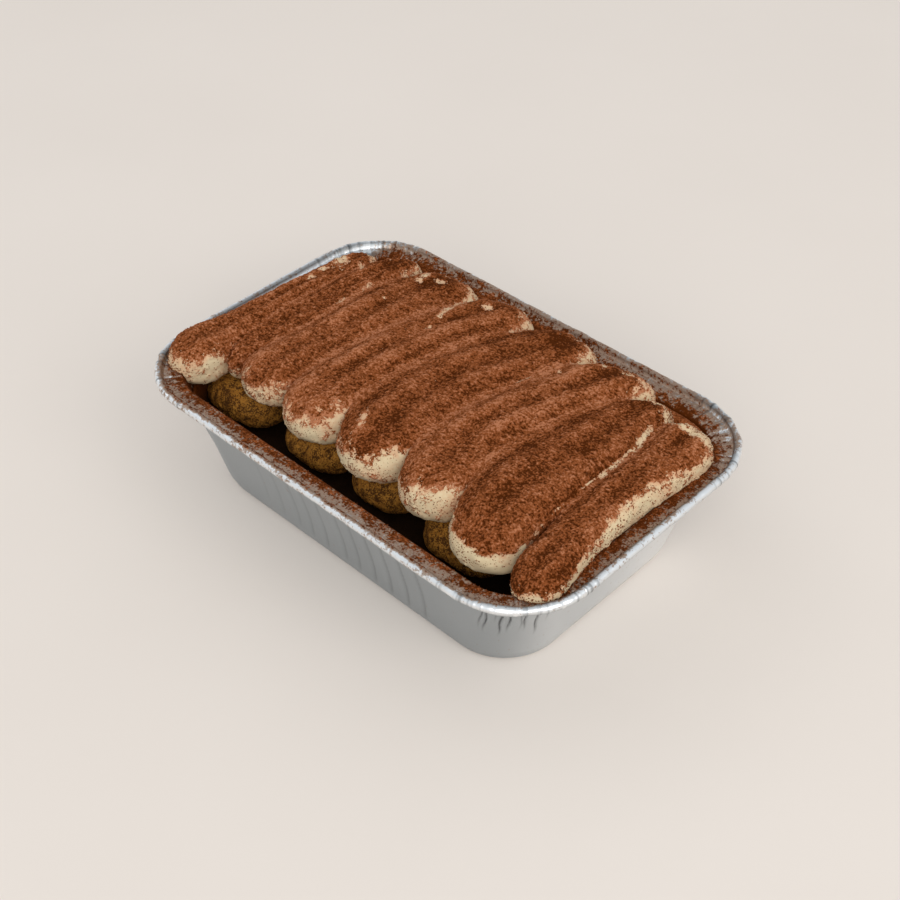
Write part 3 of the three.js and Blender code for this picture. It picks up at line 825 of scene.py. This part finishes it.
# Places where cream shows (-) or cocoa lies (+) beside that rule: x, y, half sizes, turn in degrees, amount.
PATCHES = [
    (-65.5, 25.0, 4.6, 2.4, -40, -1.0),
    (-62.0, 35.0, 2.8, 1.4, -40, -0.9),
    (-66.5, 31.0, 1.4, 2.4, 0, -0.9),
    (-57.0, 26.0, 2.4, 1.1, -30, -0.8),
    (-65.5, 18.0, 1.3, 1.3, 0, -0.9),
    (-65.0, 12.5, 1.2, 1.8, 0, -0.8),
    (-56.0, 36.0, 2.8, 1.2, -30, -0.9),
    (-39.0, 34.0, 1.4, 3.6, 10, -0.9),
    (-33.5, 35.5, 1.6, 1.5, 0, -0.9),
    (-48.0, 20.0, 0.9, 3.6, 0, -0.7),
    (-48.4, 10.0, 0.8, 2.0, 0, -0.6),
    (-39.0, 18.0, 1.0, 0.8, 0, -0.8),
    (-21.2, 33.8, 1.9, 3.8, 15, -1.0),
    (-22.0, 27.0, 1.2, 3.0, 10, -0.9),
    (-20.6, 22.0, 0.9, 1.5, 0, -0.8),
    (-19.4, 16.5, 0.9, 0.8, 0, -0.8),
    (-13.6, 34.0, 1.7, 1.4, -30, -0.9),
    (21.8, 33.5, 1.0, 2.4, 20, -0.9),
    (21.0, 25.0, 0.9, 0.8, 0, -0.8),
    (28.6, 35.0, 1.1, 1.2, 0, -0.8),
    (34.4, 37.0, 1.6, 1.0, 0, -0.9),
    (45.0, 35.0, 2.2, 2.2, 30, -1.0),
    (57.0, 32.0, 2.8, 2.2, 10, -1.1),
    (62.0, 31.5, 3.0, 2.2, -10, -1.1),
    (52.2, 22.5, 0.9, 3.0, 10, -1.0),
    (53.6, 17.0, 0.9, 2.2, 10, -1.0),
    (54.4, 8.5, 0.8, 2.8, 0, -0.9),
    (54.6, 3.0, 0.7, 1.6, 0, -0.8),
    (-15.0, -23.0, 2.2, 2.2, 0, -0.6),
    (-3.6, -24.0, 1.1, 3.6, 25, -0.7),
    (-55.0, -31.0, 1.4, 2.6, -30, -0.7),
    (60.0, -31.0, 6.0, 4.0, 0, 0.5),
]


def crest_at(index, t):
    """Height of a bar's crest at the share t of its length."""
    waves = 0.35 * np.sin(7.3 * t + index * 1.9) + 0.25 * np.sin(15.1 * t + index * 2.7)
    return curve_at([0, 0.5, 1], BARS[index][2], t) + waves


def bar_rings(index, step, cap_arc=12.6):
    """Stations along a bar: distance across the tray and how full the section is there."""
    near, far, _, _, _, (cap_near, cap_far), _, _ = BARS[index]
    turn = np.linspace(0.05, math.pi / 2, round(cap_arc / step))
    start_y, start_cap = near + cap_near * (1 - np.cos(turn)), np.sin(turn)
    end_y, end_cap = (far - cap_far * (1 - np.cos(turn)))[::-1], start_cap[::-1]
    straight = far - near - cap_near - cap_far
    middle = np.linspace(near + cap_near, far - cap_far, round(straight / step))[1:-1]
    y = np.concatenate([start_y, middle, end_y])
    cap = np.concatenate([start_cap, np.ones(len(middle)), end_cap])
    return y, cap


def bar_sections(index, y, cap, fine=260):
    """Fine sections of a bar, from under its middle round by -X, over the top and back."""
    near, far, _, ridge_depth, shift, _, droop, nose = BARS[index]
    touch = 0.12
    left = curve_at(GROOVE_Y, GROOVES[index], y) - touch
    right = curve_at(GROOVE_Y, GROOVES[index + 1], y) + touch
    centre = (left + right) / 2
    half = (right - left) / 2 * cap**0.92
    crest = crest_at(index, (y - near) / (far - near))
    low = CREAM_BOTTOM_Z - droop * np.clip(1 - (y - near) / 9, 0, 1)
    nose_z = lerp(CREAM_BOTTOM_Z, crest, nose)
    flatness = np.clip((cap - 0.6) / 0.4, 0, 1)

    cos, sin = section_turns(fine)
    upper = sin > 0
    power = np.where(upper, lerp(0.95, 0.72, flatness)[:, None], lerp(0.9, 0.5, flatness)[:, None])
    side, up = squared_off(cos, power), squared_off(sin, power)
    reach = np.where(upper, (crest - nose_z)[:, None], (nose_z - low)[:, None])
    z = nose_z[:, None] + up * reach * (cap**0.9)[:, None]

    # In the middle of the tray the bars run together, with shallow grooves between them.
    for sign in (-1, 1):
        neighbour, groove = index + sign, max(index, index + sign)
        if not 0 <= neighbour < len(BARS):
            continue
        delay = BARE_GROOVE_DELAY * (groove == BARE_GROOVE)
        joined = smooth(-29 + delay, -15 + delay, y) * smooth(36, 27, y)
        start, end = BARS[neighbour][:2]
        other = crest_at(neighbour, np.clip((y - start) / (end - start), 0, 1))
        valley = (crest + other) / 2 - GROOVE_DEPTH[groove]
        filled = lerp(crest[:, None], valley[:, None], smooth(0.30, 1.0, np.abs(side)))
        lift = np.maximum(0, filled - z) * joined[:, None] * (upper & (side * sign > 0))
        z = z + lift
    waver = 0.9 * np.sin(0.13 * y + 1.7 * index)[:, None]
    strength = ridge_depth * cap * (0.40 + 0.22 * np.sin(0.21 * y + 2.9 * index))
    ridge = strength[:, None] * np.abs(up) ** 3 * -np.cos(6.6 * (side - shift) + waver)
    z = z + np.where(upper, ridge, 0)
    x = centre[:, None] + side * half[:, None]
    return np.stack([x, np.broadcast_to(y[:, None], x.shape), z], -1), upper


def patch_amount(x, y):
    """How much the patches add to the cover at each place."""
    total = np.zeros_like(x)
    for px, py, rx, ry, turn, amount in PATCHES:
        c, s = math.cos(math.radians(turn)), math.sin(math.radians(turn))
        u = ((x - px) * c + (y - py) * s) / rx
        v = (-(x - px) * s + (y - py) * c) / ry
        total += amount * np.exp(-0.62 * (u * u + v * v))
    return total


def local_mean(values, reach):
    """Each ring's values averaged over `reach` neighbours to both sides."""
    total = np.zeros_like(values)
    for k in range(-reach, reach + 1):
        total += np.roll(values, k, axis=1)
    return total / (2 * reach + 1)


def cover_of(index, grid, normal):
    """Share of each place on a bar that cocoa covers, 0 to 1 and beyond."""
    x, y = grid[..., 0], grid[..., 1]
    lean, near_limit, near_edge, far_limit = DUST[index]
    limit = lerp(near_limit, DUST_MIDDLE_LIMIT, smooth(-27, -16, y))
    if index == len(BARS) - 1:
        flank = smooth(61, 64, x)
        limit = lerp(limit, np.maximum(limit, curve_at(FLANK_Y, FLANK_LIMIT, y)), flank)
    near_cover = 0.5 + (normal @ np.array([lean, DUST_BACK, DUST_DOWN]) - limit) / near_edge
    far_cover = 0.5 + (normal @ DUST_FAR - far_limit) / DUST_FAR_EDGE
    far_share = smooth(24, 34, y)
    near_cover = np.clip(near_cover, DUST_NEAR_LEAST[index], 1.2)
    cover = lerp(near_cover, np.clip(far_cover, DUST_FAR_LEAST, 1.2), far_share)
    mottled = 0.36 * layered(grid, 4.5, 79, 3) * smooth(1.2, 0.7, near_cover)
    cover += mottled + 0.10 * layered(grid, 2.0, 75, 2)
    if index == BARE_GROOVE - 1:
        groove = curve_at(GROOVE_Y, GROOVES[BARE_GROOVE], y)
        line = np.exp(-(((x - groove + 0.85) / 0.45) ** 2)) * smooth(28, 22, y)
        cover -= line * (0.55 + 0.8 * value_noise(grid, 3.4, 77))
    cover = np.clip(cover, -0.6, 1.15) + patch_amount(x, y) * smooth(-0.1, 0.2, normal[..., 2])
    specked = far_share if index == len(BARS) - 1 else smooth(-22, -8, y)
    least = DUST_FAR_LEAST * specked + 0.16 * value_noise(grid, 1.6, 76) * specked
    return np.clip(np.maximum(cover, least), 0.0, 1.3)


def build_bar(index, material):
    """One piped bar: soft cream body, its coat of cocoa and the powder's grain, all as mesh."""
    y, cap = bar_rings(index, step=0.30)
    fine, upper = bar_sections(index, y, cap)
    weight = np.where(upper[0], 1.0, 0.36)
    grid = resample(fine, np.broadcast_to(weight, fine.shape[:2]), count=132)

    # Soft unevenness of piped cream, then room for the foil.
    normal = normals_of(grid)
    above = smooth(CREAM_BOTTOM_Z, CREAM_BOTTOM_Z + 5, grid[..., 2])
    piped = grid * np.array([1.0, 0.33, 1.0])
    soft = 0.42 * layered(piped, 5.0, 71, 2) + 0.22 * layered(grid, 2.6, 73, 2)
    grid = grid + normal * (soft * above)[..., None]
    grid[..., 2] = np.maximum(grid[..., 2], food_floor(grid))

    # Where powder lies: on what faces it, with speckled edges.
    normal = normals_of(grid)
    cover = cover_of(index, grid, normal)
    cover = np.where(above > 0.02, cover, -1.0)
    speckle = 0.45 * value_noise(grid, 0.55, 81) + 0.7 * value_noise(grid, 1.2, 83)
    speckle += 0.35 * value_noise(grid, 2.6, 85)
    cocoa = smooth(-0.20, 0.20, cover - evened(speckle))

    grain = streaks(grid, 87)
    clumps = layered(grid, 2.2, 89, 2)
    thick = cocoa * (0.22 + 0.24 * grain + 0.08 * clumps)
    high = grid[..., 2] - local_mean(grid[..., 2], 11)
    far_tops = smooth(26, 34, grid[..., 1]) * smooth(0.80, 0.97, normal[..., 2])
    grid = kept_inside(grid + normal * thick[..., None], BAR_INWARD)
    # Painted light and shade in part: raised grains, clumps and crests lighter, pits and grooves darker,
    # besides each bar's own shift.
    tone_and_shade = BAR_TONE[index] - 0.06 + 0.44 * grain + 0.10 * clumps + 0.26 * np.clip(high / 0.5, -1, 1)
    tone_and_shade += BAR_TONE_NEAR[index] * smooth(-12, -28, grid[..., 1])
    tone_and_shade += 0.30 * smooth(0.90, 0.45, cover) - 0.28 * far_tops

    name = f"cream_bar_{index + 1}"
    near_tip, far_tip = grid[0].mean(axis=0), grid[-1].mean(axis=0)
    near_tip[1], far_tip[1] = BARS[index][:2]
    values = {"cocoa": cocoa, "tone_and_shade": tone_and_shade, "cover": np.clip(cover, 0, 1)}
    made = closed_rings(name + "_dressed", grid, near_tip, far_tip, values)
    made.data.materials.append(material)
    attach(made, "root")
    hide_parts(name)
    return grid, normal, cocoa, cover


# ---- ladyfingers and filling


def build_ladyfinger(index, material):
    """Soaked biscuit with a rounded end and an open, porous skin."""
    x0, x1, y0, turn = LADYFINGERS[index]
    phi = np.linspace(0.05, math.pi / 2, 44)
    near_y, near_cap = y0 + LADYFINGER_CAP_LENGTH * (1 - np.cos(phi)), np.sin(phi)
    shown = np.arange(y0 + LADYFINGER_CAP_LENGTH + 0.4, -17, 0.45)
    hidden = np.arange(-15, LADYFINGER_FAR_Y - LADYFINGER_CAP_LENGTH, 4.0)
    middle = np.concatenate([shown, hidden])
    far_phi = np.linspace(math.pi / 2, 0.1, 10)
    far_y, far_cap = LADYFINGER_FAR_Y - LADYFINGER_CAP_LENGTH * (1 - np.cos(far_phi)), np.sin(far_phi)
    y = np.concatenate([near_y, middle, far_y])
    cap = np.concatenate([near_cap, np.ones(len(middle)), far_cap])
    middle_z = (LADYFINGER_BOTTOM_Z + LADYFINGER_TOP_Z) / 2 - 0.6
    cos, sin = section_turns(count=220)
    power = np.where(sin > 0, 0.78, 0.6)
    side, up = squared_off(cos, power), squared_off(sin, power)
    reach = np.where(up > 0, LADYFINGER_TOP_Z - middle_z, middle_z - LADYFINGER_BOTTOM_Z)
    across = (y - y0) / (LADYFINGER_FAR_Y - y0)
    centre = (x0 + x1) / 2 + turn * across
    half = (x1 - x0) / 2 * cap**0.8
    x = centre[:, None] + side * half[:, None]
    z = middle_z + up * reach * cap[:, None]
    fine = np.stack([x, np.broadcast_to(y[:, None], x.shape), z], -1)
    grid = resample(fine, np.ones(fine.shape[:2]), count=140)
    grid[..., 2] = np.maximum(grid[..., 2], np.minimum(food_floor(grid), LADYFINGER_LIFT_Z))
    normal = normals_of(grid)
    pores = layered(grid, 1.3, 91, 3)
    pits = smooth(0.25, 0.6, value_noise(grid, 1.0, 95))
    skin = 0.32 * layered(grid, 4.0, 93, 2) + 0.26 * pores - 0.30 * pits
    grid = kept_inside(grid + normal * skin[..., None], FOOD_INWARD)
    # Darker lower down: coffee, and painted shade where the biscuit sits deep in the trench.
    soaked_and_shade = smooth(23.0, 15.5, grid[..., 2] + 2.2 * layered(grid, 5.0, 97, 2))
    name = f"ladyfinger_{index + 1}"
    start, end = (centre[0], y0, middle_z), (centre[-1], LADYFINGER_FAR_Y, middle_z)
    values = {"pore": 0.3 - 0.5 * pores, "soaked_and_shade": soaked_and_shade}
    made = closed_rings(name + "_dressed", grid, start, end, values)
    made.data.materials.append(material)
    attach(made, "root")
    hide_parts(name)


def build_filling():
    """The filling: flat under the bars, cut away beside the ladyfingers, heaped up beyond the bars' tips."""
    rows = perimeter(straight_step=1.1, corner_step=1.2)
    outline = tray_rings([wall_step(FILLING_TOP_Z, FOOD_INWARD)], rows)[0]
    layers = np.linspace(1.0, 0.004, 72)
    plan = outline[None, :, :2] * layers[:, None, None]
    x, y = plan[..., 0], plan[..., 1]
    flat = np.stack([x, y, np.zeros_like(x)], -1)
    trench = smooth(-16.0, -17.4, y) * smooth(-65.0, -63.0, x) * smooth(58.0, 56.0, x)
    inset = rim_inset(plan)
    heap = smooth(27, 39, y) + smooth(62, 67, x) * (1 - trench) + smooth(-62, -67, x)
    heap = np.clip(heap, 0, 1) * smooth(16.0, 10.0, inset)
    z = FILLING_TOP_Z + heap * 5.2 + (0.5 * layered(flat, 4.0, 101, 3)) * (1 - trench)
    z = lerp(z, TRENCH_FLOOR_Z + 0.6 * layered(flat, 5.0, 103, 3), trench)
    # Over the slanted wall, the filling ends on the wall.
    heights = np.linspace(0.0, 36.0, 73)
    levels = tray_rings([wall_step(h, FOOD_INWARD) for h in heights], rows)
    away = np.linalg.norm(levels[..., :2], axis=-1) / np.linalg.norm(outline[:, :2], axis=-1)
    away += np.linspace(0.0, 1e-6, len(heights))[:, None]
    on_wall = np.stack([np.interp(layers, away[:, j], heights, left=0.0) for j in range(len(rows))], axis=1)
    z = np.maximum(z, on_wall)
    top = np.stack([x, y, z], -1)
    bottom = wall_step(FILLING_BOTTOM_Z, FOOD_INWARD + FOOT_RADIUS * 0.7)
    foot = tray_rings([bottom, wall_step(FILLING_FOOT_Z, FOOD_INWARD)], rows)
    rise = np.linspace(0.0, 1.0, 12)[1:, None] * (top[0, :, 2] - FILLING_FOOT_Z)[None] + FILLING_FOOT_Z
    at = np.clip(rise / heights[1], 0, len(heights) - 1.001)
    below = at.astype(int)
    column = np.arange(len(rows))[None]
    sides = lerp(levels[below, column], levels[below + 1, column], (at - below)[..., None])
    grid = np.concatenate([foot, sides, top[1:]])
    grain = streaks(grid, 107)
    reached = smooth(20.0, 28.0, grid[..., 2])
    # Painted shade: the filling's cocoa darker towards the near wall, in the gap under the bars' tips.
    tone_and_shade = 0.05 + 0.34 * grain - 0.6 * smooth(-20, -28, grid[..., 1])
    start, end = (0, 0, FILLING_BOTTOM_Z), (0, 0, float(z[-1].mean()))
    made = closed_rings("filling_dressed", grid, start, end, {"cocoa": reached, "tone_and_shade": tone_and_shade})
    made.data.materials.append(filling_material())
    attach(made, "root")
    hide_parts("filling")


# ---- loose cocoa


def grain_mesh(name, places, sizes, material):
    """Loose grains as small uneven eight-sided crumbs, half sunk where they lie."""
    corners = np.array([[1, 0, 0], [0, 1, 0], [-1, 0, 0], [0, -1, 0], [0, 0, 1], [0, 0, -1]], float)
    sides = np.array([[0, 1, 4], [1, 2, 4], [2, 3, 4], [3, 0, 4], [1, 0, 5], [2, 1, 5], [3, 2, 5], [0, 3, 5]])
    count = len(places)
    turned = rng.uniform(0, 2 * math.pi, count)
    uneven = corners[None] * rng.uniform(0.65, 1.35, (count, 6, 1)) + rng.normal(0, 0.12, (count, 6, 3))
    c, s = np.cos(turned)[:, None], np.sin(turned)[:, None]
    x = uneven[..., 0] * c - uneven[..., 1] * s
    y = uneven[..., 0] * s + uneven[..., 1] * c
    points = np.stack([x, y, uneven[..., 2] * 0.7], -1) * (sizes[:, None, None] / 2)
    points = points + places[:, None, :]
    faces = sides[None] + 6 * np.arange(count)[:, None, None]
    made = make_mesh(name, points.reshape(-1, 3), faces.reshape(-1, 3))
    made.data.materials.append(material)
    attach(made, "root")


def scatter_grains(tray, bars):
    material = crumb_material()
    places, cocoa = tray
    chance = 0.15 + 0.85 * cocoa
    chance = chance * np.where(places[:, 1] > 40, 0.8, 1.0)
    pick = rng.choice(len(places), 2600, replace=False, p=chance / chance.sum())
    sizes = 0.22 + 0.26 * rng.random(len(pick)) ** 2
    spots = places[pick] + rng.normal(0, 0.15, (len(pick), 3)) * [1, 1, 0] + [0, 0, 0.04]
    grain_mesh("cocoa_grains_on_tray", spots, sizes, material)
    spots, sizes = [], []
    for grid, normal, cocoa, cover in bars:
        g, n, c, k = grid.reshape(-1, 3), normal.reshape(-1, 3), cocoa.ravel(), cover.ravel()
        chance = (n[:, 2] > -0.1) * (0.25 * c + np.exp(-(((k - 0.2) / 0.35) ** 2)))
        pick = rng.choice(len(g), 1100, replace=False, p=chance / chance.sum())
        spots.append(g[pick] + n[pick] * 0.04)
        sizes.append(0.20 + 0.30 * rng.random(len(pick)) ** 2)
    grain_mesh("cocoa_grains_on_cream", np.concatenate(spots), np.concatenate(sizes), material)


# ---- surroundings


def build_floor():
    """Plain pale floor."""
    size = 3000.0
    corners = [(-size, -size, -0.02), (size, -size, -0.02), (size, size, -0.02), (-size, size, -0.02)]
    floor = make_mesh("floor", corners, [[0, 1, 2, 3]])
    material, tree, shader = new_material("floor", specular=0.1)
    feed(tree, shader.inputs["Base Color"], mixed(tree, shader_noise(tree, 90.0, 3.0), FLOOR, FLOOR_SHADE))
    shader.inputs["Roughness"].default_value = 0.95
    floor.data.materials.append(material)


def add_light(name, place, size, power, colour):
    light = bpy.data.lights.new(name, "AREA")
    light.shape = "DISK"
    light.size = size
    light.energy = power
    light.color = colour
    made = bpy.data.objects.new(name, light)
    made.location = place
    made.rotation_mode = "QUATERNION"
    made.rotation_quaternion = (-Vector(place)).to_track_quat("-Z", "Y")
    bpy.context.scene.collection.objects.link(made)


def light_scene():
    world = bpy.data.worlds.new("studio")
    world.use_nodes = True
    sky = world.node_tree.nodes["Background"]
    sky.inputs["Color"].default_value = (0.96, 0.98, 1.0, 1.0)
    sky.inputs["Strength"].default_value = 0.74
    bpy.context.scene.world = world
    add_light("key", (1.70, -0.10, 1.15), 1.4, 10.5, (1.0, 0.98, 0.95))
    add_light("front", (1.10, -1.40, 1.20), 1.4, 15.5, (1.0, 0.98, 0.95))
    add_light("fill", (-1.60, -0.30, 1.30), 1.4, 2.5, (0.97, 0.98, 1.0))
    bpy.context.scene.view_settings.view_transform = "Standard"


CAMERA_PLACE = (0.2200, -0.2178, 0.2869)
CAMERA_YAW, CAMERA_PITCH, CAMERA_ROLL = 44.75, 40.91, -1.14
CAMERA_LENS = 59.3


def add_camera():
    yaw, pitch, roll = map(math.radians, (CAMERA_YAW, CAMERA_PITCH, CAMERA_ROLL))
    back = Vector((math.sin(yaw) * math.cos(pitch), -math.cos(yaw) * math.cos(pitch), math.sin(pitch)))
    level = Vector((math.cos(yaw), math.sin(yaw), 0))
    rise = back.cross(level)
    right = math.cos(roll) * level + math.sin(roll) * rise
    up = -math.sin(roll) * level + math.cos(roll) * rise
    camera = bpy.data.objects.new("camera", bpy.data.cameras.new("camera"))
    camera.data.lens = CAMERA_LENS
    camera.data.clip_start, camera.data.clip_end = 0.01, 20.0
    camera.matrix_world = Matrix(
        [(right[k], up[k], back[k], CAMERA_PLACE[k]) for k in range(3)] + [(0, 0, 0, 1)]
    )
    bpy.context.scene.collection.objects.link(camera)
    bpy.context.scene.camera = camera


# ---- scene

add_camera()
light_scene()
build_floor()
tray = build_tray()
build_filling()
biscuit = biscuit_material()
for number in range(len(LADYFINGERS)):
    build_ladyfinger(number, biscuit)
cream = cocoa_cream_material()
bars = [build_bar(number, cream) for number in range(len(BARS))]
scatter_grains(tray, bars)
